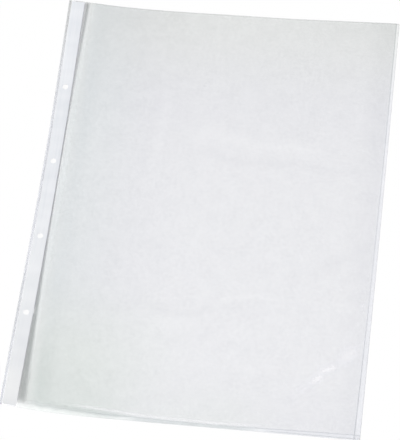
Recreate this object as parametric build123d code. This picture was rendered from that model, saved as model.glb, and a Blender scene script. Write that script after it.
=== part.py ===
from build123d import *
import math
import os

os.makedirs("parts", exist_ok=True)

# Sizes in millimetres and degrees. Distances "across" run over the film from the outer edge of the
# binding margin, and "height" is measured square to the film from its underside.

# The pocket laid flat
POCKET_WIDTH = 330.0
POCKET_LENGTH = 427.0
FILM = 0.10

# Room between the two plies, for a sheet of paper
AIR_GAP = 0.30

# Heat seams
SIDE_WELD_WIDTH = 4.2
BOTTOM_WELD_WIDTH = 4.8
SPINE_WELD_WIDTH = 6.5
OUTER_WELD_WIDTH = 1.2
OUTER_WELD_HEIGHT = 0.08

# The white strip and the margin that carries it
OUTER_MARGIN = 2.9
STRIP_WIDTH = 12.8
STRIP_THICKNESS = 0.30
STRIP_END_MARGIN = 1.0
FOLD_LAND = 0.9

# Ring holes, the four-hole pattern for A-size pages
HOLE_DIAMETER = 5.5
HOLE_PITCH = 80.0
HOLE_COUNT = 4

# How the film curls up off the table towards the binding, and how far the strip tips beyond that.
# The curl is a chain of short arcs, none longer than the step, so that even thin film keeps its thickness.
CURL_RADIUS = 450.0
CURL_ANGLE = 12.0
CURL_STEP = 8.0
STRIP_TIP = 3.0

# Play between pieces that move past each other
FOLD_CLEARANCE = 0.30
SEAM_CLEARANCE = 0.30
MOUTH_OPENING = 4.0

# Places that follow from the sizes
FOLD_AT = OUTER_MARGIN + STRIP_WIDTH + FOLD_LAND
FOLD_HEIGHT = FILM / 2
SPINE_AT = FOLD_AT + FOLD_CLEARANCE / 2
POCKET_AT = SPINE_AT + SPINE_WELD_WIDTH
SIDE_WELD_AT = POCKET_WIDTH - SIDE_WELD_WIDTH
FRONT_BASE = FILM + AIR_GAP
FRONT_TOP = FRONT_BASE + FILM
BOTTOM_EDGE = -POCKET_LENGTH / 2
TOP_EDGE = POCKET_LENGTH / 2
BOTTOM_WELD_END = BOTTOM_EDGE + BOTTOM_WELD_WIDTH

CURL = math.radians(CURL_ANGLE)
TILT = math.radians(CURL_ANGLE + STRIP_TIP)
CURL_START = FOLD_AT + CURL_RADIUS * CURL


def flat_or_curled(across, height):
    """A point of the pocket as (x, z), with the binding's outer edge at zero if it were laid flat."""
    if across >= CURL_START:
        return across, height
    turn = (CURL_START - across) / CURL_RADIUS
    radius = CURL_RADIUS - height
    return CURL_START - radius * math.sin(turn), CURL_RADIUS - radius * math.cos(turn)


def tipped(across, height):
    """A point of the binding margin as (x, z), turned up about the fold line."""
    fold_x, fold_z = flat_or_curled(FOLD_AT, FOLD_HEIGHT)
    out = FOLD_AT - across
    up = height - FOLD_HEIGHT
    x = fold_x - out * math.cos(TILT) + up * math.sin(TILT)
    z = fold_z + out * math.sin(TILT) + up * math.cos(TILT)
    return x, z


# The model is centred on its own box
MIDDLE = (tipped(0, 0)[0] + POCKET_WIDTH) / 2


def at(point, y):
    """A point in space from an (x, z) pair and a place along the page."""
    x, z = point
    return Vector(x - MIDDLE, y, z)


def run(start, end, height, y):
    """Edges that follow the film from one distance across to another."""
    edges = []
    bend = min(end, CURL_START) - start
    arcs = max(0, math.ceil(bend / CURL_STEP))
    for arc in range(arcs):
        shares = [(arc + part) / arcs for part in (0, 0.5, 1)]
        points = [at(flat_or_curled(start + bend * share, height), y) for share in shares]
        edges.append(Edge.make_three_point_arc(*points))
    flat_start = max(start, CURL_START)
    if flat_start < end:
        points = [at(flat_or_curled(across, height), y) for across in (flat_start, end)]
        edges.append(Edge.make_line(*points))
    return edges


def pocket_layer(start, end, low, high, y_from, y_to):
    """A layer of film or seam that follows the curl."""
    sides = []
    for across in (start, end):
        corners = [at(flat_or_curled(across, height), y_from) for height in (low, high)]
        sides.append(Edge.make_line(*corners))
    outline = run(start, end, low, y_from) + run(start, end, high, y_from) + sides
    return extrude(Face(Wire(outline)), amount=y_to - y_from, dir=(0, 1, 0), clean=False)


def margin_layer(start, end, low, high, y_from, y_to):
    """A flat layer of the binding margin, tipped up with the strip."""
    corners = [(start, low), (end, low), (end, high), (start, high)]
    outline = Wire.make_polygon([at(tipped(*corner), y_from) for corner in corners])
    return extrude(Face(outline), amount=y_to - y_from, dir=(0, 1, 0))


def ring_holes():
    """The drills that punch the strip and the margin film, square to the strip."""
    hole_across = OUTER_MARGIN + STRIP_WIDTH / 2
    square_to_strip = (math.sin(TILT), 0, math.cos(TILT))
    drills = []
    for place in range(HOLE_COUNT):
        y = (place - (HOLE_COUNT - 1) / 2) * HOLE_PITCH
        spot = Plane(origin=at(tipped(hole_across, 0), y), z_dir=square_to_strip)
        drills.append(spot * Cylinder(HOLE_DIAMETER / 2, 8 * STRIP_THICKNESS))
    return drills


# The back ply fills the frame of seams
back_panel = pocket_layer(POCKET_AT, SIDE_WELD_AT, 0, FILM, BOTTOM_WELD_END, TOP_EDGE)

# In a seam both plies are melted into one, from the back ply's underside to the front ply's face
bottom_weld = pocket_layer(SPINE_AT, POCKET_WIDTH, 0, FRONT_TOP, BOTTOM_EDGE, BOTTOM_WELD_END)
side_weld = pocket_layer(SIDE_WELD_AT, POCKET_WIDTH, 0, FRONT_TOP, BOTTOM_WELD_END, TOP_EDGE)
spine_weld = pocket_layer(SPINE_AT, POCKET_AT, 0, FRONT_TOP, BOTTOM_WELD_END, TOP_EDGE)

# The front ply swings up from the bottom seam. Where it is curled up, its lower edge swings back towards
# the seam, so it starts that much further along.
front_start = POCKET_AT + SEAM_CLEARANCE
swing_back = flat_or_curled(front_start, FRONT_TOP)[1] * math.sin(math.radians(MOUTH_OPENING))
front_panel = pocket_layer(
    front_start,
    SIDE_WELD_AT - SEAM_CLEARANCE,
    FRONT_BASE,
    FRONT_TOP,
    BOTTOM_WELD_END + swing_back + SEAM_CLEARANCE,
    TOP_EDGE,
)

# The margin film, the strip on it and the seam outside the strip
margin_film = margin_layer(0, FOLD_AT - FOLD_CLEARANCE / 2, 0, FILM, BOTTOM_EDGE, TOP_EDGE)
binding_strip = margin_layer(
    OUTER_MARGIN,
    OUTER_MARGIN + STRIP_WIDTH,
    FILM,
    FILM + STRIP_THICKNESS,
    BOTTOM_EDGE + STRIP_END_MARGIN,
    TOP_EDGE - STRIP_END_MARGIN,
)
seam_inset = (OUTER_MARGIN - OUTER_WELD_WIDTH) / 2
outer_weld = margin_layer(
    seam_inset,
    seam_inset + OUTER_WELD_WIDTH,
    FILM,
    FILM + OUTER_WELD_HEIGHT,
    BOTTOM_EDGE,
    TOP_EDGE,
)
for drill in ring_holes():
    margin_film -= drill
    binding_strip -= drill

pieces = {
    "back_panel": back_panel,
    "bottom_weld": bottom_weld,
    "side_weld": side_weld,
    "spine_weld": spine_weld,
    "front_panel": front_panel,
    "margin_film": margin_film,
    "binding_strip": binding_strip,
    "outer_weld": outer_weld,
}
for name, piece in pieces.items():
    export_step(piece, f"parts/{name}.step")
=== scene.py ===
from functools import partial
import math

import bpy
from bpy.props import FloatProperty, FloatVectorProperty, IntProperty, PointerProperty
from mathutils import Matrix, Vector, noise


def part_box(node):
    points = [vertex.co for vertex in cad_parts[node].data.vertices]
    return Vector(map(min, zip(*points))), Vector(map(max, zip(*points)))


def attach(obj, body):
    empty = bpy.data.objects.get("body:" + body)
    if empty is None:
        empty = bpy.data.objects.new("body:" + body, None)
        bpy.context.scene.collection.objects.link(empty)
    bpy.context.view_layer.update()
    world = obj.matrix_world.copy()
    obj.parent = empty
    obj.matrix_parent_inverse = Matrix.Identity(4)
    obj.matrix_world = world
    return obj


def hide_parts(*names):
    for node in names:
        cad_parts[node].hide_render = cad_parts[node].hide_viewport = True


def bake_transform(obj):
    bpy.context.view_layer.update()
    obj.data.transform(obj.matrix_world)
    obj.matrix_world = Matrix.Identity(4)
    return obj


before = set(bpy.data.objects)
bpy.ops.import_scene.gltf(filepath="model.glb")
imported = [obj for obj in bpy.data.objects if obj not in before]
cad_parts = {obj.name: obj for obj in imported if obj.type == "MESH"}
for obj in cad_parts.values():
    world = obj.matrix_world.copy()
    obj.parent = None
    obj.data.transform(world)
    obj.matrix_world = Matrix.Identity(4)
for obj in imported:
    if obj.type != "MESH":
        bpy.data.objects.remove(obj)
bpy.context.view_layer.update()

bl_info = {
    "name": "Punched pocket",
    "version": (1, 0, 0),
    "blender": (4, 5, 0),
    "location": "View3D > Sidebar > Pocket",
    "description": "Models a clear punched pocket with a white binding strip, and the stage it is seen on",
    "category": "Object",
}

MM = 0.001
ACROSS = (1, 0, 0)
ALONG = (0, 1, 0)


# Places that the CAD parts give. "Across" is the distance over the film from the binding's outer edge, as
# if the pocket lay flat, and "along" is the place on the page from its foot to its open head.

def node_span(node, axis):
    """The size of a CAD node along one axis, in millimetres."""
    low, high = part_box(node)
    return (high[axis] - low[axis]) / MM


RIGHT_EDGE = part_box("side_weld")[1][0]
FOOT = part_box("bottom_weld")[0][1]
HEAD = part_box("side_weld")[1][1]


def page_share(along):
    """How far up the page a place is, from 0 at its foot to 1 at its open head."""
    return (along - FOOT) / (HEAD - FOOT)


def from_foot(along):
    """How far up the page from its foot a place is, in millimetres."""
    return (along - FOOT) / MM


def from_head(along):
    """How far down the page from its open head a place is, in millimetres."""
    return (HEAD - along) / MM


# What a user may change

def linear(hex_code):
    """An sRGB hex colour as linear red, green and blue."""
    channels = [int(hex_code[place:place + 2], 16) / 255 for place in (1, 3, 5)]
    return tuple(c / 12.92 if c <= 0.04045 else ((c + 0.055) / 1.055) ** 2.4 for c in channels)


def length(name, description, millimetres):
    """A size in millimetres that a user may change."""
    return FloatProperty(name=name, description=description, default=millimetres * MM, unit="LENGTH")


def angle(name, description, degrees):
    """An angle that a user may change."""
    return FloatProperty(name=name, description=description, default=math.radians(degrees), unit="ROTATION")


def colour(name, description, hex_code):
    """A colour that a user may change."""
    return FloatVectorProperty(
        name=name, description=description, default=linear(hex_code), subtype="COLOR", min=0, max=1
    )


class PocketSizes(bpy.types.PropertyGroup):
    """Sizes of the pocket laid flat."""

    flat_width: length("Width", "Whole width with the binding margin", 330.0)
    film: length("Film", "Thickness of one ply", 0.10)
    air_gap: length("Gap", "Room between the plies", 0.30)
    side_seam: length("Side seam", "Width of the seam down the side", node_span("side_weld", 0))
    foot_seam: length("Foot seam", "Width of the seam along the foot", node_span("bottom_weld", 1))
    spine_seam: length("Spine seam", "Width of the seam beside the strip", 6.5)
    outer_seam: length("Outer seam", "Width of the seam outside the strip", 1.2)
    outer_margin: length("Outer margin", "Clear film outside the strip", 2.9)
    strip_width: length("Strip width", "Width of the white strip", 12.8)
    strip_thickness: length("Strip thickness", "Thickness of the white strip", 0.30)
    strip_end_margin: length("Strip end margin", "Clear film past each end of the strip", 1.0)
    fold_land: length("Fold land", "Film between the strip and the fold", 0.9)
    hole_diameter: length("Hole diameter", "Diameter of a ring hole", 5.5)
    hole_pitch: length("Hole pitch", "Distance from one ring hole to the next", 80.0)
    hole_count: IntProperty(name="Holes", description="Number of ring holes", default=4, min=1, max=8)


class PocketLie(bpy.types.PropertyGroup):
    """How the pocket lies on the table."""

    lift_foot: length("Lift at the foot", "Height of the fold line over the table at the foot", 17.4)
    lift_middle: length("Lift in the middle", "Height of the fold line halfway up", 2.6)
    lift_head: length("Lift at the head", "Height of the fold line at the open end", 10.5)
    tip_foot: angle("Tip at the foot", "How far the strip tips up at the foot", 21.0)
    tip_middle: angle("Tip in the middle", "How far the strip tips up halfway up", 6.0)
    tip_head: angle("Tip at the head", "How far the strip tips up at the open end", 7.0)
    curl_reach: length("Curl reach", "How far across the page the curl dies out", 165.0)
    bow_foot: length("Bow at the foot", "How far the binding bends in at the foot", -0.7)
    bow_middle: length("Bow in the middle", "How far the binding bends in halfway up", -0.1)
    bow_head: length("Bow at the head", "How far the binding bends in at the open end", -0.6)
    corner_pull: length("Corner pull", "How far the foot is drawn out beside the binding", 1.8)
    strip_curl: angle("Strip curl", "How far the strip curls over from its inner to its outer edge", 8.0)
    swell: length("Swell", "How far the front ply stands off the back one", 0.5)


class PocketColours(bpy.types.PropertyGroup):
    """Colours of the plastics and of the table."""

    film: colour("Film", "Haze of the clear film", "#E3E5F1")
    film_cool: colour("Cool film", "Haze of the film beside the binding", "#D9E4EA")
    film_foot: colour("Film at the foot", "Haze of the film in the corner of foot and binding", "#D9E6E1")
    film_neutral: colour("Neutral film", "Haze of the film at its head and close to the strip", "#E3E8E5")
    pressed: colour("Pressed line", "Film at its edges and where a sealing bar pressed it", "#A0A8AC")
    sealed: colour("Sealed margin", "Film outside the strip, sealed flat", "#D6D7D4")
    # Its white is partly painted light: highlights on creases, and light over the strip's shadow beside it
    crease: colour("Crease", "Film that a sharp crease has whitened", "#FDFCFF")
    strip: colour("Strip", "White strip", "#F1F3F7")
    strip_shade: colour("Strip shade", "White strip in its thinner bands", "#E8EBF0")
    # The lit-through colour is painted light, standing in for light that comes through the strip
    strip_painted_light: colour("Strip lit through", "White strip where light also comes through it", "#FDFEFF")
    table: colour("Table", "Table top", "#FBFBFB")


class PocketStage(bpy.types.PropertyGroup):
    """Camera and light."""

    azimuth: angle("Azimuth", "Direction of the camera round the pocket", 21.37)
    elevation: angle("Elevation", "Height of the camera over the table", 65.33)
    roll: angle("Roll", "Turn of the camera about its own line of sight", -15.585)
    distance: length("Distance", "Distance from the camera to what it looks at", 1829.2)
    aim_across: length("Aim across", "Place that the camera looks at, to the right of the middle", -6.2)
    aim_along: length("Aim along", "Place that the camera looks at, up the page from the middle", -10.0)
    focal_length: FloatProperty(
        name="Focal length", description="Focal length on a 36 mm wide frame", default=173.4, unit="CAMERA"
    )
    lamp_power: FloatProperty(name="Lamp", description="Power of the lamp in watts", default=880.0, min=0)
    lamp_size: length("Lamp size", "Diameter of the lamp", 3000.0)
    lamp_distance: length("Lamp distance", "Distance from the lamp to the pocket", 10000.0)
    lamp_height: angle("Lamp height", "Height of the lamp over the table", 60.0)
    lamp_turn: angle("Lamp turn", "Direction of the lamp, to the left of the page's foot", 24.0)
    room_light: FloatProperty(name="Room", description="Light from all round", default=0.25, min=0)


# How the pocket lies

def ease(start, end, value):
    """0 up to the start, 1 from the end on, and smooth between them."""
    share = max(0.0, min(1.0, (value - start) / (end - start)))
    return share * share * (3 - 2 * share)


def fall(start, end, value):
    """1 up to the start, 0 from the end on, and smooth between them."""
    return 1 - ease(start, end, value)


def ridge(offset, width):
    """1 on a line, fading out about one width to either side of it."""
    return math.exp(-(offset / width) ** 2)


def along_page(foot, middle, head, along):
    """A measure that is known at the foot, the middle and the head, taken smoothly between them."""
    share = page_share(along)
    at_foot = foot * (1 - share) * (1 - 2 * share)
    at_middle = middle * 4 * share * (1 - share)
    at_head = head * share * (2 * share - 1)
    return at_foot + at_middle + at_head


def between(points, place):
    """A measure that is known at a few places in order, taken straight between them."""
    for (start, low), (end, high) in zip(points, points[1:]):
        if place <= end:
            return low + (high - low) * max(0, place - start) / (end - start)
    return points[-1][1]


# How far the pull on the corner of foot and binding reaches, across and along the page in millimetres
PULL_ACROSS = 140
PULL_ALONG = 60


def fold_across(sizes):
    """Distance across of the fold between the pocket and its margin."""
    return sizes.outer_margin + sizes.strip_width + sizes.fold_land


def laid(point, sizes, lie):
    """Where a point of the flat pocket lies once its binding side has curled up off the table."""
    across, along, height = point
    fold = fold_across(sizes)
    lift = along_page(lie.lift_foot, lie.lift_middle, lie.lift_head, along)
    reach = lie.curl_reach - fold
    share = max(0, min(1, (lie.curl_reach - across) / reach))
    rise = lift * share ** 3
    turn = math.atan(3 * lift / reach * share ** 2)
    # The film doesn't stretch, so where it is steep it reaches less far: half its slope squared, summed up
    drawn_in = 0.9 * lift ** 2 * share ** 5 / reach
    bend_in = share * along_page(lie.bow_foot, lie.bow_middle, lie.bow_head, along)
    x = RIGHT_EDGE - sizes.flat_width + max(across, fold) + drawn_in + bend_in
    if across < fold:
        out = fold - across
        tip = along_page(lie.tip_foot, lie.tip_middle, lie.tip_head, along)
        chord = tip + lie.strip_curl * (0.5 - 0.5 * out / fold)
        x -= out * math.cos(chord)
        rise = lift + out * math.sin(chord)
        turn = tip + lie.strip_curl * (0.5 - out / fold)
    # Sealing has drawn the corner beside the binding out past the foot
    near_corner = fall(0, PULL_ACROSS, across / MM) * fall(0, PULL_ALONG, from_foot(along))
    pull = lie.corner_pull * near_corner
    return Vector((x + height * math.sin(turn), along - pull, rise + height * math.cos(turn)))


# Marks of sealing and handling, as places across and along the page in millimetres
CORNER_CREASE = [(316, -130), (280, -163), (262, -183)]
SIDE_NICK = [(321, -89), (321, -83)]

# How wide the corner crease is, how wide the film beside it is whitened with painted highlight, and how
# wide the nick is
CREASE_WIDTH = 5.0
CREASE_WHITE_WIDTH = 5.2
NICK_WIDTH = 1.5

# Painted highlights, white streaks where the corner crease is sharpest: their lines, how wide and how white
# they are
PAINTED_CREASE_HIGHLIGHTS = (
    ([(315, -131), (310, -137)], 6.0, 0.85),
    ([(300, -147), (291, -151)], 3.8, 0.95),
    ([(288, -158), (283, -162)], 3.4, 1.0),
    ([(280, -166), (271, -171)], 3.6, 0.5),
)

# Soft folds in the front ply: their lines, how wide they are and how they change the haze; a thinner haze
# is a painted highlight and a thicker one painted shade
SOFT_FOLDS = (
    ([(135, 67), (155, 83), (180, 76), (198, 72), (247, 70), (285, 71)], 7.0, -0.10),
    ([(141, 58), (156, 64), (176, 54), (248, 54), (297, 47), (326, 41)], 5.0, 0.08),
    ([(113, 137), (112, 93), (105, 33)], 5.0, -0.07),
    ([(94, -97), (133, -102), (162, -105), (199, -97), (244, -80)], 6.0, 0.06),
    ([(111, -116), (144, -115), (172, -111)], 6.0, -0.06),
    ([(184, -90), (216, -84), (249, -85)], 4.0, -0.08),
    ([(331, -18), (296, -43), (260, -59)], 6.0, 0.07),
)

# How far in from the foot edge the foot seam reaches, at distances across the page
FOOT_REACH = [(0, 8), (30, 7.9), (75, 6.2), (105, 5.0), (128, 4), (195, 2.9), (258, 4.2), (330, 5.2)]

# How far apart its puckers near the binding are, and how deep
PUCKER_PITCH = 14
PUCKER_DEPTH = 0.5

# How far in from the right edge the side seam reaches, at its foot, middle and head
SIDE_REACH = (6.0, 3.9, 3.5)

# How much hazier the film is at its head corners, at distances across the page
HEAD_CORNERS = [(0, 0.1), (50, 0.3), (140, 0), (230, 0), (310, 0.25), (330, 0.25)]

# How much painted light whitens the strip, standing in for light through it, at places along the page
STRIP_PAINTED_LIGHT = [
    (-212, 0.6), (-204, 0.9), (-196, 1), (-182, 0.8), (-170, 0.45), (-100, 0.45), (-30, 0.22), (10, 0)
]

# How hard the film outside the strip was pressed, at places along the page
MARGIN_SEAL = [
    (-213, 0.5), (-180, 0.45), (-150, 0.54), (-110, 0.65), (-60, 0.43), (85, 0.47), (150, 0.7), (213, 1)
]

# How hard the seam beside the strip and the seam outside it were pressed
SPINE_PRESSED = 0.09
OUTER_PRESSED = 0.1

# How wide the grey lines are, at a cut end, at a sealed edge and where the bar pressed
CUT_END_WIDTH = 0.7
SEALED_EDGE_WIDTH = 0.6
BAR_LINE_WIDTH = 0.5

# How far the bar's line is from the seam's inner rim, and its second line from the foot edge
BAR_LINE_IN = 0.5
SECOND_LINE_IN = 1.3

# How far the cut at the head dips, where across the page and how widely
HEAD_DIP = 1.0
HEAD_DIP_AT = 228
HEAD_DIP_WIDTH = 65

# How far the right edge bows out
SIDE_BOW = 0.4

# Slow ripples of the two plies: their pitch in metres, their seeds, and the back ply's share of the swell
BACK_RIPPLE = 0.09
BACK_SEED = 1.3
BACK_SHARE = 0.4
FRONT_RIPPLE = 0.07
FRONT_SEED = 6.1

# How far the corner crease stands up, how far a fold that thins the haze does, and how strongly the folds'
# painted highlight and shade show
CREASE_RISE = 0.18 * MM
FOLD_RISE = 2 * MM
FOLD_PAINTED_LIGHT = 3.2


# Measures at a place on the page, with reaches in millimetres and levels as shares

def crease_nearness(across, along, points, width):
    """How near a place is to a crease, from 1 on it to 0 far off, and how far it is along the crease."""
    spot = Vector((across, along)) / MM
    places = [place for _, place in points]
    if not min(places) - 3 * width < spot.y < max(places) + 3 * width:
        return 0.0, 0.0
    nearest = None
    covered = 0.0
    for start, end in zip(points, points[1:]):
        run = Vector(end) - Vector(start)
        share = max(0, min(1, (spot - Vector(start)).dot(run) / run.length_squared))
        off = (spot - Vector(start) - run * share).length
        if nearest is None or off < nearest[0]:
            nearest = off, covered + share * run.length
        covered += run.length
    off, reached = nearest
    return ridge(off, width), reached / covered


def fade(progress):
    """Lets a crease fade in and out at its ends."""
    return ease(0, 0.2, progress) * fall(0.75, 1, progress)


def soft_folds(across, along):
    """How the soft folds change the haze at a place: painted highlight where they thin it and painted shade
    where they thicken it.
    """
    change = 0.0
    for points, width, haze in SOFT_FOLDS:
        near, progress = crease_nearness(across, along, points, width)
        change += haze * near * fade(progress)
    return change


def ripple(across, along, pitch, seed):
    """A slow unevenness from 0 to 1, about pitch from crest to crest."""
    place = Vector((across / pitch, along / pitch, seed))
    return 0.5 + 0.5 * noise.noise(place)


def back_wave(across, along, lie):
    """How far the back ply stands off the smooth lie of the pocket."""
    return BACK_SHARE * lie.swell * ripple(across, along, BACK_RIPPLE, BACK_SEED)


def front_wave(across, along, lie):
    """How far the front ply stands off the smooth lie of the pocket."""
    swell = lie.swell * ripple(across, along, FRONT_RIPPLE, FRONT_SEED) ** 2
    corner, progress = crease_nearness(across, along, CORNER_CREASE, CREASE_WIDTH)
    crease = CREASE_RISE * corner * fade(progress)
    folds = max(0.0, -FOLD_RISE * soft_folds(across, along))
    return back_wave(across, along, lie) + swell + crease + folds


def film_apart_and_shade(across, along):
    """How far the plies stand off each other and off the table, from 0 to about 1, with painted shade
    beside the strip and in the corner of foot and binding.
    """
    place = across / MM
    everywhere = 0.26
    at_mouth = 0.38 * fall(0, 190, from_head(along))
    at_foot = 0.2 * fall(0, 70, from_foot(along))
    towards_binding = along_page(0.70, 0.36, 0.46, along) * fall(40, 170, place)
    # Painted shade beside the strip, next to its cast shadow
    shade_beside_spine = 0.24 * fall(32, 48, place)
    beside_side = along_page(0.2, 0.26, 0.36, along) * ease(296, 322, place)
    head_corners = fall(0, 40, from_head(along)) * between(HEAD_CORNERS, place)
    # Painted shade in the corner of foot and binding, beside the strip's shadow
    foot_corner_shade = 0.5 * fall(30, 95, from_foot(along)) * fall(30, 50, place)
    corners = head_corners + foot_corner_shade
    return everywhere + at_mouth + at_foot + towards_binding + shade_beside_spine + beside_side + corners


def front_apart_and_painted_light(across, along):
    """The same for the front ply, with the folds' painted highlight and shade added."""
    return film_apart_and_shade(across, along) + FOLD_PAINTED_LIGHT * soft_folds(across, along)


def film_cool(across, along):
    """How cool the film looks, from 1 beside the binding to 0 on the right."""
    return fall(25, 110, across / MM)


def film_low(across, along):
    """How near a place is to the corner of foot and binding, or by half to the rest of the foot."""
    place = across / MM
    corner = fall(50, 150, from_foot(along)) * fall(60, 190, place)
    along_foot = 0.5 * fall(0, 60, from_foot(along)) * fall(200, 270, place)
    return max(corner, along_foot)


def film_neutral(across, along):
    """How neutral the film looks: at the open head, and close to the strip near both its ends."""
    place = across / MM
    at_mouth = fall(0, 110, from_head(along)) * (0.5 + 0.4 * ease(25, 110, place))
    by_strip = along_page(1, 0.35, 0.9, along) * fall(22, 34, place)
    return max(at_mouth, by_strip)


# The tints of the film's haze
TINTS = {"cool": film_cool, "low": film_low, "neutral": film_neutral}


def head_edge(across):
    """Where the cut at the head runs."""
    return HEAD - HEAD_DIP * MM * ridge(across / MM - HEAD_DIP_AT, HEAD_DIP_WIDTH)


def head_pressed(across, along):
    """The cut edge at the head, seen as a thin grey line."""
    return 0.25 * ridge((head_edge(across) - along) / MM, CUT_END_WIDTH)


def side_edge(along, sizes):
    """Where the right edge runs."""
    return sizes.flat_width + MM * along_page(0.1, SIDE_BOW, 0, along)


def side_reach(along):
    """How far in from the right edge the side seam reaches."""
    return MM * along_page(*SIDE_REACH, along)


def foot_reach(across):
    """How far in from the foot edge the foot seam reaches, puckered near the binding."""
    place = across / MM
    pucker = PUCKER_DEPTH * math.sin(2 * math.pi * place / PUCKER_PITCH) * fall(45, 75, place)
    return MM * (between(FOOT_REACH, place) + pucker)


def foot_middle(across):
    """1 along the middle of the foot seam, where the bar pressed it to the edge, and 0 at its ends."""
    place = across / MM
    return ease(105, 135, place) * fall(220, 250, place)


def side_pressed(across, along, sizes):
    """How hard the side seam was pressed at a place, from 0 to 1."""
    inward = side_edge(along, sizes) - across
    outward = (side_reach(along) - inward) / MM
    bar_line = along_page(0.8, 0.45, 0.7, along) * ridge(outward - BAR_LINE_IN, BAR_LINE_WIDTH)
    hazy = 0.15 - 0.07 * ease(0, 80, along / MM)
    cut_edge = along_page(0.7, 0.45, 0.4, along) * ridge(inward / MM, SEALED_EDGE_WIDTH)
    return max(bar_line, hazy, cut_edge)


def foot_line(across, along):
    """The line that the sealing bar pressed along the foot seam, broad and soft near the binding."""
    place = across / MM
    outward = (foot_reach(across) - (along - FOOT)) / MM
    soft = fall(95, 125, place)
    strength = 0.55 * (0.4 + 0.6 * ease(22, 30, place))
    return strength * ridge(outward - BAR_LINE_IN - soft, BAR_LINE_WIDTH + 1.6 * soft)


def foot_pressed(across, along):
    """How hard the foot seam was pressed at a place, from 0 to 1."""
    inward = from_foot(along)
    outward = foot_reach(across) / MM - inward
    towards_corner = ease(235, 255, across / MM)
    beside_strip = fall(24, 40, across / MM)
    to_edge = 0.35 * foot_middle(across) + 0.22 * (towards_corner + beside_strip)
    second_line = 0.6 * towards_corner * ridge(inward - SECOND_LINE_IN, BAR_LINE_WIDTH)
    cut_edge = (0.45 - 0.15 * ease(80, 120, across / MM)) * ridge(inward, SEALED_EDGE_WIDTH)
    return max(foot_line(across, along), to_edge * ease(0, 0.6, outward), second_line, cut_edge)


def film_crease_white_and_highlights(across, along):
    """How far the front ply is painted white, in the corner and along the foot seam: whitening of the
    corner crease, together with painted highlights on its streaks, on the side nick and on the ridge beside
    the foot seam.
    """
    place = across / MM
    corner, progress = crease_nearness(across, along, CORNER_CREASE, CREASE_WHITE_WIDTH)
    white = 0.3 * corner * (1 - 0.7 * progress)
    for points, width, strength in PAINTED_CREASE_HIGHLIGHTS:
        near, _ = crease_nearness(across, along, points, width)
        white = max(white, strength * near)
    nick, _ = crease_nearness(across, along, SIDE_NICK, NICK_WIDTH)
    inside = (along - FOOT - foot_reach(across)) / MM
    stretched = ease(55, 80, place) * fall(225, 250, place)
    off_seam = 3.2 - 1.5 * ease(80, 150, place)
    return max(white, 0.5 * nick, 0.9 * stretched * ridge(inside - off_seam, 1.4))


def front_pressed(across, along):
    """Grey lines of the front ply: its cut edge and the rim of the foot seam's line."""
    return max(head_pressed(across, along), foot_line(across, along))


def corner_pressed(across, along, sizes):
    """The foot seam with the side seam's lines running on through its corner."""
    in_corner = ease(-1, 0, (side_reach(along) - side_edge(along, sizes) + across) / MM)
    return max(foot_pressed(across, along), in_corner * side_pressed(across, along, sizes))


def side_and_head_pressed(across, along, sizes):
    """The side seam with its cut edge at the head."""
    return max(side_pressed(across, along, sizes), head_pressed(across, along))


def fold_painted_light(across, along, sizes):
    """How far the film beside the strip is painted white, a painted light that lightens the strip's cast
    shadow there, more towards the head.
    """
    share = page_share(along)
    off_fold = (across - fold_across(sizes)) / MM
    near = ease(-0.9, -0.7, off_fold) * fall(0.6, 2.2, off_fold)
    return 0.6 * near * ease(0.05, 0.4, share) * (0.6 + 0.4 * share)


def spine_apart(across, along):
    """How far the seam beside the strip stands off the table."""
    return 1.0


def spine_pressed(across, along):
    """How hard the seam beside the strip was pressed, and its cut edge at the head."""
    return max(head_pressed(across, along), SPINE_PRESSED)


def outer_pressed(across, along):
    """How hard the seam outside the strip was pressed."""
    return OUTER_PRESSED


def margin_pressed(across, along):
    """The margin's cut ends, seen as thin grey lines."""
    nearest_end = min(from_foot(along), from_head(along))
    return 0.3 * ridge(nearest_end, CUT_END_WIDTH)


def margin_sealed(across, along, sizes):
    """How hard the margin outside the strip was sealed, from 0 to 1."""
    inner_edge = sizes.outer_margin / MM
    outside = ease(-0.6, 0.6, across / MM) * fall(inner_edge - 0.4, inner_edge, across / MM)
    return between(MARGIN_SEAL, along / MM) * outside


def strip_painted_light(across, along):
    """How much painted light whitens the strip at a place, standing in for light that comes through it."""
    return between(STRIP_PAINTED_LIGHT, along / MM)


def fitted(across, along, sizes):
    """Where a place on a pocket with straight seams is on the real one, whose seams wander."""
    fold = fold_across(sizes)
    width = sizes.flat_width
    edge = side_edge(along, sizes)
    side = side_reach(along)
    if across > width - sizes.side_seam:
        across = edge - (width - across) * side / sizes.side_seam
    elif across > fold:
        across = fold + (across - fold) * (edge - side - fold) / (width - sizes.side_seam - fold)
    head = head_edge(across)
    foot = foot_reach(across)
    if along < FOOT + sizes.foot_seam:
        along = FOOT + (along - FOOT) * foot / sizes.foot_seam
    else:
        along = head - (HEAD - along) * (head - FOOT - foot) / (HEAD - FOOT - sizes.foot_seam)
    return across, along


# Modelling

# Steps of the grids that the film is drawn with, across and along it, in millimetres
BACK_STEP = (3, 3)
FRONT_STEP = (1.6, 1.6)
MARGIN_STEP = (0.5, 1.5)
OUTER_SEAM_STEP = (0.3, 2)
SEAM_FINE = 0.35
SEAM_COARSE = 2

# Lines cut close beside an edge: how far apart they are in millimetres, and how many there are
LINE_STEP = 0.4
HEAD_LINES = 4
FOOT_LINES = 11
CORNER_LINES = 15

# How far a seam swells where the bar pressed it, and how far over the film the strip lies
SEAM_SWELL = 0.2 * MM
STRIP_OVER_FILM = 0.01 * MM

# The seam outside the strip: its thickness, the height of its crown, and the crown's width in millimetres
OUTER_SEAM_FILM = 0.05 * MM
OUTER_SEAM_RISE = 0.08 * MM
OUTER_SEAM_CROWN = 0.4

# Round holes, and the angle up to which faces are shaded as one
HOLE_SIDES = 48
DRILL_DEPTH = 10 * MM
SMOOTH_ANGLE = math.radians(40)


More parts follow.
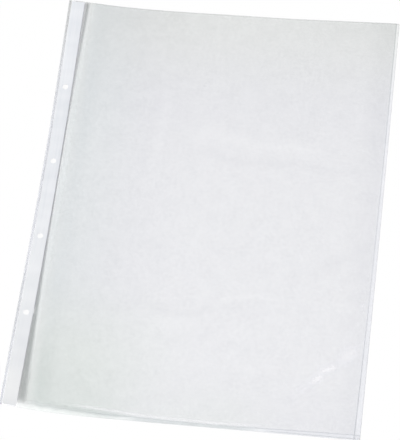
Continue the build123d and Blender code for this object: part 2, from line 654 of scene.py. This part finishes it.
def deselect():
    """Leaves nothing selected, so that an operator acts on the new piece alone."""
    bpy.ops.object.select_all(action="DESELECT")


def film_grid(name, across, along, base, step):
    """A flat grid of film between two distances across and two places along, with a step for each."""
    deselect()
    spans = [limits[1] - limits[0] for limits in (across, along)]
    counts = [max(1, round(span / (size * MM))) for span, size in zip(spans, step)]
    bpy.ops.mesh.primitive_grid_add(
        x_subdivisions=counts[0],
        y_subdivisions=counts[1],
        size=1,
        location=(sum(across) / 2, sum(along) / 2, base),
    )
    piece = bpy.context.object
    piece.name = name
    piece.data.name = name
    piece.scale = (*spans, 1)
    bpy.ops.object.transform_apply()
    return piece


def cut_lines(piece, edge, step, count, direction):
    """Cuts lines across a flat piece, inwards from an edge, so that a narrow mark has its own faces."""
    bpy.context.view_layer.objects.active = piece
    bpy.ops.object.mode_set(mode="EDIT")
    for line in range(1, count + 1):
        place = edge + line * step * MM
        bpy.ops.mesh.select_all(action="SELECT")
        bpy.ops.mesh.bisect(plane_co=Vector(direction) * place, plane_no=direction)
    bpy.ops.object.mode_set(mode="OBJECT")


def fit_to_seams(piece, sizes):
    """Moves the points of a flat piece so that its edges follow the wandering seams."""
    for vertex in piece.data.vertices:
        vertex.co.x, vertex.co.y = fitted(vertex.co.x, vertex.co.y, sizes)


def thicken(piece, thickness):
    """Gives a sheet its thickness, upwards from its underside."""
    deselect()
    bpy.context.view_layer.objects.active = piece
    modifier = piece.modifiers.new("Thickness", "SOLIDIFY")
    modifier.thickness = thickness
    modifier.offset = 1
    bpy.ops.object.modifier_apply(modifier=modifier.name)


def punch(piece, sizes):
    """Punches the ring holes through a flat piece."""
    middle = sizes.outer_margin + sizes.strip_width / 2
    for place in range(sizes.hole_count):
        along = (place - (sizes.hole_count - 1) / 2) * sizes.hole_pitch
        deselect()
        bpy.ops.mesh.primitive_cylinder_add(
            vertices=HOLE_SIDES,
            radius=sizes.hole_diameter / 2,
            depth=DRILL_DEPTH,
            location=(middle, along, 0),
        )
        drill = bpy.context.object
        bpy.context.view_layer.objects.active = piece
        modifier = piece.modifiers.new("Hole", "BOOLEAN")
        modifier.operation = "DIFFERENCE"
        modifier.solver = "EXACT"
        modifier.object = drill
        bpy.ops.object.modifier_apply(modifier=modifier.name)
        bpy.data.objects.remove(drill)


def mark(piece, measures):
    """Keeps numbers at each point of a flat piece, for its material."""
    for name, measure in measures.items():
        values = [max(0.0, measure(*vertex.co[:2])) for vertex in piece.data.vertices]
        attribute = piece.data.attributes.new(name, "FLOAT", "POINT")
        attribute.data.foreach_set("value", values)


def lay(piece, sizes, lie, wave=None):
    """Moves a flat piece to where it lies."""
    for vertex in piece.data.vertices:
        across, along, height = vertex.co
        if wave is not None:
            height += wave(across, along, lie)
        vertex.co = laid((across, along, height), sizes, lie)
    piece.data.update()


def finish_piece(piece, material, node):
    """Shades a piece, gives it its material, and hides the CAD node that it stands for."""
    deselect()
    piece.select_set(True)
    bpy.context.view_layer.objects.active = piece
    bpy.ops.object.shade_smooth_by_angle(angle=SMOOTH_ANGLE)
    piece.data.materials.clear()
    piece.data.materials.append(material)
    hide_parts(node)


# Materials

POLYPROPYLENE_IOR = 1.49
WHITE = (1, 1, 1, 1)

# What is drawn on the plastics, from crest to crest. The real embossing is about 0.3 mm from pip to pip
# and the strip's grain is finer still, too fine to show, so both are drawn larger.
EMBOSS_PITCH = 3 * MM
DRIFT_PITCH = 16 * MM
BAND_PITCH = 16 * MM
DIE_LINE_PITCH = 2.2 * MM
GRAIN_PITCH = 1.2 * MM

# How much the die's lines count beside the strip's bands, and the range in which their sum thins the strip
DIE_LINE_SHARE = 0.7
THINNING_RANGE = (0.65, 1.05)

# The middle part of a noise, which has nearly all of its values
NOISE_RANGE = (0.3, 0.7)

# How much more of what lies behind it the film hides where it is marked
MARK_COVER = {"apart_and_painted_light": 0.046, "pressed": 0.30, "sealed": 0.70, "crease_white_and_painted_light": 0.24}

# How far the table glows by itself, and how far it turns plain white where nothing covers it
TABLE_GLOW = 0.02
TABLE_BARE = 0.97


def add_node(tree, kind, settings=None, inputs=None):
    """Adds a node with its settings, and gives its inputs values or the outputs of other nodes."""
    node = tree.nodes.new("ShaderNode" + kind)
    for name, value in (settings or {}).items():
        setattr(node, name, value)
    for name, value in (inputs or {}).items():
        if isinstance(value, bpy.types.NodeSocket):
            tree.links.new(value, node.inputs[name])
        else:
            node.inputs[name].default_value = value
    return node


def calculate(tree, operation, *values):
    """The result of one operation on two or three values or outputs."""
    return add_node(tree, "Math", {"operation": operation}, dict(enumerate(values))).outputs[0]


def stretch(tree, value, given, wanted=(0, 1)):
    """A value taken from one range to another, and kept inside it."""
    inputs = dict(enumerate((value, *given, *wanted)))
    return add_node(tree, "MapRange", None, inputs).outputs["Result"]


def cloudy(tree, place, pitch, detail):
    """Noise from 0 to 1, about one pitch from crest to crest."""
    inputs = {"Vector": place, "Scale": 1 / pitch, "Detail": detail}
    return add_node(tree, "TexNoise", None, inputs).outputs["Fac"]


def scaled(tree, place, scale):
    """A place with its three axes scaled."""
    return add_node(tree, "Mapping", None, {"Vector": place, "Scale": scale}).outputs["Vector"]


def marked(tree, name):
    """The number that a piece keeps under a name at each of its points."""
    return add_node(tree, "Attribute", {"attribute_name": name}).outputs["Fac"]


def mix_colours(tree, share, first, second):
    """A colour that is the given share of the way from the first to the second."""
    inputs = {0: share, 6: first, 7: second}
    return add_node(tree, "Mix", {"data_type": "RGBA"}, inputs).outputs[2]


def relief(tree, height, strength, distance):
    """The way that a face with a fine relief is turned at each point."""
    inputs = {"Height": height, "Strength": strength, "Distance": distance}
    return add_node(tree, "Bump", None, inputs).outputs["Normal"]


def end_plastic(tree, tint, roughness, normal, cover=1.0):
    """Ends a material as polypropylene that hides a share of what lies behind it."""
    inputs = {
        "Base Color": tint,
        "Roughness": roughness,
        "IOR": POLYPROPYLENE_IOR,
        "Alpha": cover,
        "Normal": normal,
    }
    surface = add_node(tree, "BsdfPrincipled", None, inputs)
    add_node(tree, "OutputMaterial", None, {"Surface": surface.outputs["BSDF"]})


def new_material(name):
    """A material with no nodes yet, and its node tree."""
    material = bpy.data.materials.new(name)
    material.use_nodes = True
    material.node_tree.nodes.clear()
    return material, material.node_tree


def opaque(rgb):
    """A colour with its alpha."""
    return (*rgb, 1.0)


def film_material(name, colours, haze, roughness):
    """Polypropylene film: clear, with a haze that dulls what is behind it."""
    # Cast and embossed film lets most light through. Its orange-peel face scatters the rest as a pale haze,
    # which gathers where the plies stand apart; beside the strip and in the corner of foot and binding the
    # extra haze is painted shade, and along the soft folds painted highlight and shade. A pressed line or a
    # cut edge looks grey. A sharp crease turns white, and the same white mark paints highlights and light
    # over the strip's shadow.
    material, tree = new_material(name)
    place = add_node(tree, "TexCoord").outputs["Object"]
    tints = {
        "cool": colours.film_cool,
        "low": colours.film_foot,
        "neutral": colours.film_neutral,
        "pressed": colours.pressed,
        "sealed": colours.sealed,
        "crease_white_and_painted_light": colours.crease,
    }
    marks = {mark_name: marked(tree, mark_name) for mark_name in ("apart_and_painted_light", *tints)}
    # The white mark is partly painted light, so only rays that see it count it: it throws no shadow
    rays = add_node(tree, "LightPath").outputs
    lighting = calculate(tree, "MAXIMUM", rays["Is Shadow Ray"], rays["Is Diffuse Ray"])
    seen = calculate(tree, "SUBTRACT", 1.0, lighting)
    marks["crease_white_and_painted_light"] = calculate(tree, "MULTIPLY", marks["crease_white_and_painted_light"], seen)

    emboss = cloudy(tree, place, EMBOSS_PITCH, detail=1.0)
    normal = relief(tree, emboss, strength=0.35, distance=0.1 * MM)
    mottle = stretch(tree, emboss, NOISE_RANGE, (0.85, 1.15))
    # The film's thickness drifts slowly
    drift = cloudy(tree, place, DRIFT_PITCH, detail=2.0)
    cloud = stretch(tree, drift, NOISE_RANGE, (haze * 0.9, haze * 1.1))
    cover = calculate(tree, "MULTIPLY", mottle, cloud)
    for mark_name, share in MARK_COVER.items():
        cover = calculate(tree, "MULTIPLY_ADD", marks[mark_name], share, cover)
    # Seen edge on, the face turns into a mirror
    facing = add_node(tree, "LayerWeight", None, {"Blend": 0.5}).outputs["Facing"]
    gloss = calculate(tree, "POWER", facing, 5.0)
    cover = calculate(tree, "ADD", cover, gloss)

    tint = opaque(colours.film)
    for mark_name, rgb in tints.items():
        tint = mix_colours(tree, marks[mark_name], tint, opaque(rgb))
    end_plastic(tree, tint, roughness, normal, cover)
    return material


def embossed_film(colours):
    """Clear film of the plies and the margin."""
    name = "Embossed polypropylene film"
    return bpy.data.materials.get(name) or film_material(name, colours, haze=0.035, roughness=0.4)


def sealed_film(colours):
    """Film that a sealing bar has melted together, smoother than the plies."""
    name = "Heat-sealed polypropylene film"
    return bpy.data.materials.get(name) or film_material(name, colours, haze=0.08, roughness=0.3)


def strip_tape(colours):
    """White tape of the binding strip."""
    # Extruded and satin, a little uneven in thickness, so pale bands cross it
    material, tree = new_material("Extruded white polypropylene tape")
    place = add_node(tree, "TexCoord").outputs["Object"]
    # The bands are drawn out across the strip, and the lines that the extruder's die left run up it
    bands = cloudy(tree, scaled(tree, place, (0.3, 1.0, 0.3)), BAND_PITCH, detail=1.0)
    lines = cloudy(tree, scaled(tree, place, (1.0, 0.04, 0.3)), DIE_LINE_PITCH, detail=1.0)
    uneven = calculate(tree, "MULTIPLY_ADD", lines, DIE_LINE_SHARE, bands)
    thin = stretch(tree, uneven, THINNING_RANGE)
    tint = mix_colours(tree, thin, opaque(colours.strip), opaque(colours.strip_shade))
    # Painted light: the strip is whiter where it stands off the table, standing in for light that comes
    # through it from below and offsetting the shade of its tilt
    tint = mix_colours(tree, marked(tree, "lit"), tint, opaque(colours.strip_painted_light))
    grain = cloudy(tree, place, GRAIN_PITCH, detail=2.0)
    normal = relief(tree, grain, strength=0.2, distance=0.05 * MM)
    roughness = stretch(tree, grain, (0, 1), (0.38, 0.5))
    end_plastic(tree, tint, roughness, normal)
    return material


def painted_table(colours):
    """Matt white table top, plain white where it is seen bare."""
    material, tree = new_material("Painted table top")
    rays = add_node(tree, "LightPath").outputs
    inputs = {
        "Base Color": opaque(colours.table),
        "Roughness": 0.9,
        "Specular IOR Level": 0.0,
        "Emission Color": WHITE,
        "Emission Strength": calculate(tree, "MULTIPLY", rays["Is Camera Ray"], TABLE_GLOW),
    }
    surface = add_node(tree, "BsdfPrincipled", None, inputs).outputs["BSDF"]
    uncovered = calculate(tree, "LESS_THAN", rays["Transparent Depth"], 0.5)
    bare = calculate(tree, "MULTIPLY", rays["Is Camera Ray"], uncovered)
    for ray in ("Is Glossy Ray", "Is Transmission Ray"):
        bare = calculate(tree, "MAXIMUM", bare, rays[ray])
    share = calculate(tree, "MULTIPLY", bare, TABLE_BARE)
    white = add_node(tree, "Emission", None, {"Color": WHITE, "Strength": 1.0}).outputs["Emission"]
    mixed = add_node(tree, "MixShader", None, {0: share, 1: surface, 2: white})
    add_node(tree, "OutputMaterial", None, {"Surface": mixed.outputs["Shader"]})
    return material


def white_room(strength):
    """A plain white room, lit evenly from all round."""
    world = bpy.data.worlds.new("Room")
    world.use_nodes = True
    world.node_tree.nodes.clear()
    tree = world.node_tree
    rays = add_node(tree, "LightPath").outputs
    seen = calculate(tree, "MAXIMUM", rays["Is Camera Ray"], rays["Is Transmission Ray"])
    level = stretch(tree, seen, (0, 1), (strength, 1.0))
    sky = add_node(tree, "Background", None, {"Color": WHITE, "Strength": level})
    add_node(tree, "OutputWorld", None, {"Surface": sky.outputs["Background"]})
    return world


# Operators

# The table's size in metres, and how far under the film its top is
TABLE_SIZE = 8
TABLE_DROP = 0.15 * MM

# Width of the camera's frame in millimetres
FRAME_WIDTH = 36


def pocket_settings(scene):
    """The sizes, the lie and the colours that are set in a scene."""
    return scene.pocket_sizes, scene.pocket_lie, scene.pocket_colours


def ply_span(sizes):
    """Where the plies start and end across the page, between the seams."""
    return fold_across(sizes) + sizes.spine_seam, sizes.flat_width - sizes.side_seam


class POCKET_OT_back_film(bpy.types.Operator):
    """Adds the back ply."""

    bl_idname = "pocket.back_film"
    bl_label = "Back ply"

    def execute(self, context):
        sizes, lie, colours = pocket_settings(context.scene)
        start, end = ply_span(sizes)
        low = FOOT + sizes.foot_seam
        piece = film_grid("back_film", (start, end), (low, HEAD), 0, BACK_STEP)
        cut_lines(piece, HEAD, -LINE_STEP, HEAD_LINES, ALONG)
        fit_to_seams(piece, sizes)
        thicken(piece, sizes.film)
        mark(piece, {"pressed": head_pressed, "apart_and_painted_light": film_apart_and_shade, **TINTS})
        lay(piece, sizes, lie, back_wave)
        finish_piece(piece, embossed_film(colours), "back_panel")
        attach(piece, "pocket")
        return {"FINISHED"}


class POCKET_OT_front_film(bpy.types.Operator):
    """Adds the front ply, in two halves that meet on the middle line."""

    bl_idname = "pocket.front_film"
    bl_label = "Front ply"

    def execute(self, context):
        sizes, lie, colours = pocket_settings(context.scene)
        start, end = ply_span(sizes)
        middle = (start + end) / 2
        low = FOOT + sizes.foot_seam
        marks = {"pressed": front_pressed, "apart_and_painted_light": front_apart_and_painted_light, "crease_white_and_painted_light": film_crease_white_and_highlights, **TINTS}
        base = sizes.film + sizes.air_gap
        for name, (left, right), held in (
            ("front_film_left", (start, middle), start),
            ("front_film_right", (middle, end), end),
        ):
            piece = film_grid(name, (left, right), (low, HEAD), base, FRONT_STEP)
            cut_lines(piece, HEAD, -LINE_STEP, HEAD_LINES, ALONG)
            cut_lines(piece, low, LINE_STEP, FOOT_LINES, ALONG)
            fit_to_seams(piece, sizes)
            thicken(piece, sizes.film)
            mark(piece, marks)
            lay(piece, sizes, lie, front_wave)
            finish_piece(piece, embossed_film(colours), "front_panel")
            edge = laid((held, 0, base), sizes, lie)
            crown = laid((middle, 0, base), sizes, lie)
            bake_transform(piece)
        return {"FINISHED"}


class POCKET_OT_seams(bpy.types.Operator):
    """Adds the heat seams along the foot, down the side and beside the strip."""

    bl_idname = "pocket.seams"
    bl_label = "Seams"

    def execute(self, context):
        sizes, lie, colours = pocket_settings(context.scene)
        fold = fold_across(sizes)
        width = sizes.flat_width
        spine_end = fold + sizes.spine_seam
        foot_end = FOOT + sizes.foot_seam
        side_start = width - sizes.side_seam

        foot = film_grid("foot_seam", (fold, width), (FOOT, foot_end), 0, (SEAM_COARSE, SEAM_FINE))
        cut_lines(foot, width, -SEAM_FINE, CORNER_LINES, ACROSS)
        side = film_grid("side_seam", (side_start, width), (foot_end, HEAD), 0, (SEAM_FINE, SEAM_COARSE))
        spine = film_grid("spine_seam", (fold, spine_end), (foot_end, HEAD), 0, (SEAM_FINE, SEAM_COARSE))
        cut_lines(spine, HEAD, -SEAM_FINE, HEAD_LINES, ALONG)

        beside_strip = {"apart_and_painted_light": spine_apart, "crease_white_and_painted_light": partial(fold_painted_light, sizes=sizes)}
        for piece, node, pressed, more_marks in (
            (foot, "bottom_weld", partial(corner_pressed, sizes=sizes), {}),
            (side, "side_weld", partial(side_and_head_pressed, sizes=sizes), {}),
            (spine, "spine_weld", spine_pressed, beside_strip),
        ):
            fit_to_seams(piece, sizes)
            # The film swells a little where the bar pressed it
            for vertex in piece.data.vertices:
                vertex.co.z += SEAM_SWELL * pressed(vertex.co.x, vertex.co.y)
            thicken(piece, 2 * sizes.film)
            mark(piece, {"pressed": pressed, **TINTS, **more_marks})
            lay(piece, sizes, lie, back_wave)
            finish_piece(piece, sealed_film(colours), node)
            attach(piece, "pocket")
        return {"FINISHED"}


class POCKET_OT_binding(bpy.types.Operator):
    """Adds the punched margin: its film, the white strip on it and the seam outside the strip."""

    bl_idname = "pocket.binding"
    bl_label = "Binding margin"

    def execute(self, context):
        sizes, lie, colours = pocket_settings(context.scene)
        fold = fold_across(sizes)
        strip_end = sizes.outer_margin + sizes.strip_width
        on_film = sizes.film + STRIP_OVER_FILM

        margin = film_grid("clear_margin", (0, fold), (FOOT, HEAD), 0, MARGIN_STEP)
        thicken(margin, sizes.film)
        punch(margin, sizes)
        marks = {
            "pressed": margin_pressed,
            "sealed": partial(margin_sealed, sizes=sizes),
            "crease_white_and_painted_light": partial(fold_painted_light, sizes=sizes),
        }
        mark(margin, marks)

        strip = film_grid(
            "white_strip",
            (sizes.outer_margin, strip_end),
            (FOOT + sizes.strip_end_margin, HEAD - sizes.strip_end_margin),
            on_film,
            MARGIN_STEP,
        )
        thicken(strip, sizes.strip_thickness)
        punch(strip, sizes)
        mark(strip, {"lit": strip_painted_light})

        inset = (sizes.outer_margin - sizes.outer_seam) / 2
        outer_end = inset + sizes.outer_seam
        outer = film_grid("outer_seam", (inset, outer_end), (FOOT, HEAD), on_film, OUTER_SEAM_STEP)
        for vertex in outer.data.vertices:
            off_middle = (vertex.co.x - sizes.outer_margin / 2) / MM
            vertex.co.z += OUTER_SEAM_RISE * ridge(off_middle, OUTER_SEAM_CROWN)
        thicken(outer, OUTER_SEAM_FILM)
        mark(outer, {"pressed": outer_pressed})

        for piece, look, slot, node in (
            (margin, embossed_film(colours), "film", "margin_film"),
            (strip, strip_tape(colours), "strip", "binding_strip"),
            (outer, sealed_film(colours), "weld", "outer_weld"),
        ):
            lay(piece, sizes, lie)
            finish_piece(piece, look, node)
        start = laid((fold, 0, 0), sizes, lie)
        for piece in (margin, strip):
            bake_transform(piece)
        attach(outer, "binding")
        return {"FINISHED"}


class POCKET_OT_stage(bpy.types.Operator):
    """Adds the table, the light and the camera."""

    bl_idname = "pocket.stage"
    bl_label = "Stage"

    def execute(self, context):
        scene = context.scene
        stage = scene.pocket_stage
        scene.view_settings.view_transform = "Standard"
        scene.world = white_room(stage.room_light)

        deselect()
        bpy.ops.mesh.primitive_plane_add(size=TABLE_SIZE, location=(0, 0, -TABLE_DROP))
        table = context.object
        table.name = "table"
        bpy.ops.object.transform_apply()
        table.data.materials.append(painted_table(scene.pocket_colours))

        # The lamp stands to the left of the foot, so the raised strip throws its shadow to the right and up
        reach = stage.lamp_distance * math.cos(stage.lamp_height)
        spot = Vector((
            -reach * math.sin(stage.lamp_turn),
            -reach * math.cos(stage.lamp_turn),
            stage.lamp_distance * math.sin(stage.lamp_height),
        ))
        bpy.ops.object.light_add(type="AREA", location=spot)
        lamp = context.object
        lamp.name = "lamp"
        lamp.data.shape = "DISK"
        lamp.data.size = stage.lamp_size
        lamp.data.energy = stage.lamp_power
        lamp.rotation_euler = spot.to_track_quat("Z", "Y").to_euler()

        toward = Vector((
            math.sin(stage.azimuth) * math.cos(stage.elevation),
            -math.cos(stage.azimuth) * math.cos(stage.elevation),
            math.sin(stage.elevation),
        ))
        level = Vector((math.cos(stage.azimuth), math.sin(stage.azimuth), 0))
        upright = toward.cross(level)
        right = math.cos(stage.roll) * level + math.sin(stage.roll) * upright
        up = math.cos(stage.roll) * upright - math.sin(stage.roll) * level
        place = Vector((stage.aim_across, stage.aim_along, 0)) + stage.distance * toward
        bpy.ops.object.camera_add()
        camera = context.object
        camera.name = "camera"
        turned = Matrix((right, up, toward)).transposed().to_4x4()
        camera.matrix_world = Matrix.Translation(place) @ turned
        camera.data.sensor_fit = "HORIZONTAL"
        camera.data.sensor_width = FRAME_WIDTH
        camera.data.lens = stage.focal_length
        scene.camera = camera
        return {"FINISHED"}


class POCKET_PT_sidebar(bpy.types.Panel):
    """Lists the pieces of the pocket and what a user may change."""

    bl_idname = "POCKET_PT_sidebar"
    bl_label = "Punched pocket"
    bl_space_type = "VIEW_3D"
    bl_region_type = "UI"
    bl_category = "Pocket"

    def draw(self, context):
        for operator in OPERATORS:
            self.layout.operator(operator.bl_idname)
        for group in GROUPS:
            settings = getattr(context.scene, group)
            for name in settings.bl_rna.properties.keys():
                if name not in ("rna_type", "name"):
                    self.layout.prop(settings, name)


OPERATORS = (
    POCKET_OT_back_film,
    POCKET_OT_front_film,
    POCKET_OT_seams,
    POCKET_OT_binding,
    POCKET_OT_stage,
)
GROUPS = {
    "pocket_sizes": PocketSizes,
    "pocket_lie": PocketLie,
    "pocket_colours": PocketColours,
    "pocket_stage": PocketStage,
}


def register():
    """Makes the operators, the panel and the settings known to Blender."""
    for group in GROUPS.values():
        bpy.utils.register_class(group)
    for operator in OPERATORS:
        bpy.utils.register_class(operator)
    bpy.utils.register_class(POCKET_PT_sidebar)
    for name, group in GROUPS.items():
        setattr(bpy.types.Scene, name, PointerProperty(type=group))


def unregister():
    """Takes away what register added."""
    for name in GROUPS:
        delattr(bpy.types.Scene, name)
    bpy.utils.unregister_class(POCKET_PT_sidebar)
    for operator in reversed(OPERATORS):
        bpy.utils.unregister_class(operator)
    for group in reversed(GROUPS.values()):
        bpy.utils.unregister_class(group)


def main():
    """Models the pocket and its stage."""
    register()
    bpy.ops.pocket.back_film()
    bpy.ops.pocket.front_film()
    bpy.ops.pocket.seams()
    bpy.ops.pocket.binding()
    bpy.ops.pocket.stage()


if __name__ == "__main__":
    main()
